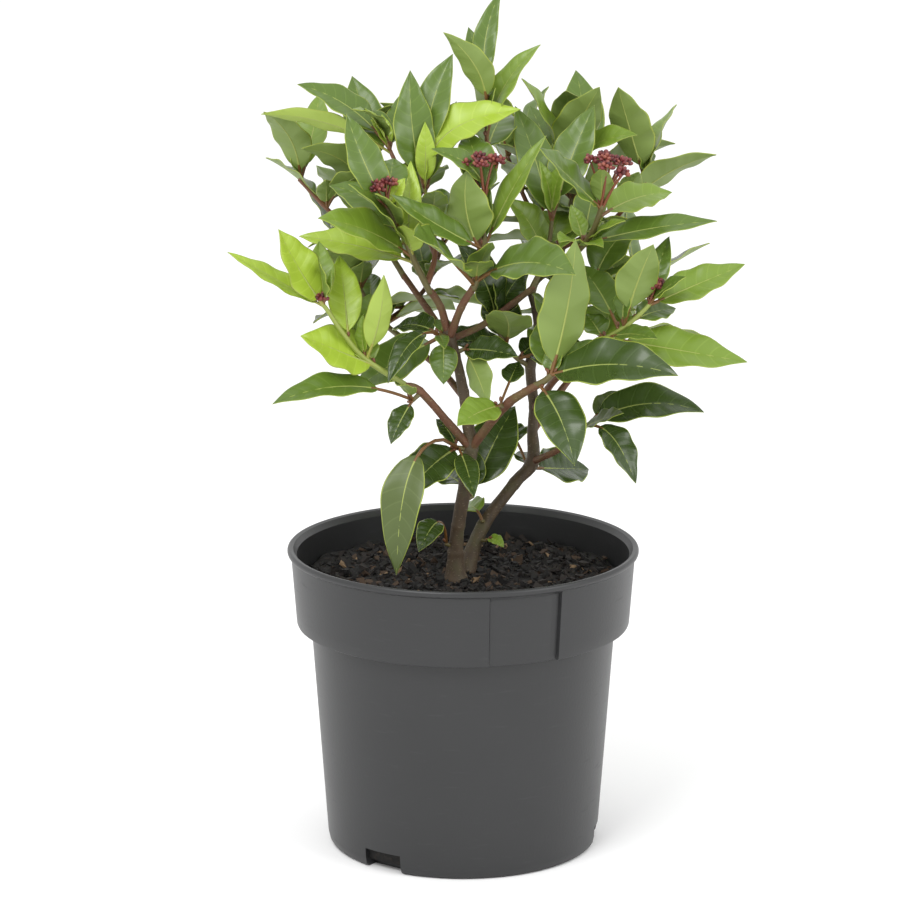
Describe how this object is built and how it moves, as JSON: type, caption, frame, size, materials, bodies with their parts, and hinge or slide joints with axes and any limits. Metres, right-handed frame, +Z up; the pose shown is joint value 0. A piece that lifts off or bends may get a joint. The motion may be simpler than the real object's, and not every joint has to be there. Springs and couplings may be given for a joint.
{
  "type": "potted laurustinus",
  "caption": "Young evergreen laurustinus shrub with woody stems, leafy twigs and bud heads, growing in a plain round nursery pot filled with potting mix.",
  "frame": {"origin": "centre of the pot's flat underside, on the surface it stands on", "axes": "+Z up along the pot's axis; -Y is the side that faces the picture's camera; +X is to that camera's right"},
  "size_m": [0.2021, 0.175, 0.3406],
  "materials": {
    "pot": "satin dark grey moulded plastic",
    "soil": "moist dark bark mix",
    "bark": "brown bark with small pores",
    "young_bark": "reddish young bark",
    "leaves": "leathery green leaves",
    "young_leaves": "young lime green leaves"
  },
  "bodies": {
    "root": {"bough_back": "young_bark", "bough_back_left": "young_bark", "bough_far_right": "young_bark", "bough_left": "young_bark", "bough_low_back": "young_bark", "bough_low_left": "young_bark", "bough_low_right": "young_bark", "bough_middle": "young_bark", "bough_right": "young_bark", "bough_top_left": "young_bark", "bough_top_right": "young_bark", "leaves_back": "leaves", "leaves_back_left": "leaves", "leaves_centre": "leaves", "leaves_far_right": "leaves", "leaves_foot": "leaves", "leaves_foot_back": "leaves", "leaves_fork_left": "leaves", "leaves_fork_right": "leaves", "leaves_inner": "leaves", "leaves_inner_right": "leaves", "leaves_left": "leaves", "leaves_left_low": "leaves", "leaves_lime": "young_leaves", "leaves_low_back": "leaves", "leaves_low_back_left": "leaves", "leaves_low_front": "leaves", "leaves_low_right": "leaves", "leaves_middle": "leaves", "leaves_middle_right": "leaves", "leaves_node": "leaves", "leaves_right": "leaves", "leaves_sprout": "leaves", "leaves_upper_front": "leaves", "leaves_upper_right": "leaves", "pot": "pot", "soil": "soil", "stem_back": "bark", "stem_front": "bark"}
  },
  "joints": []
}
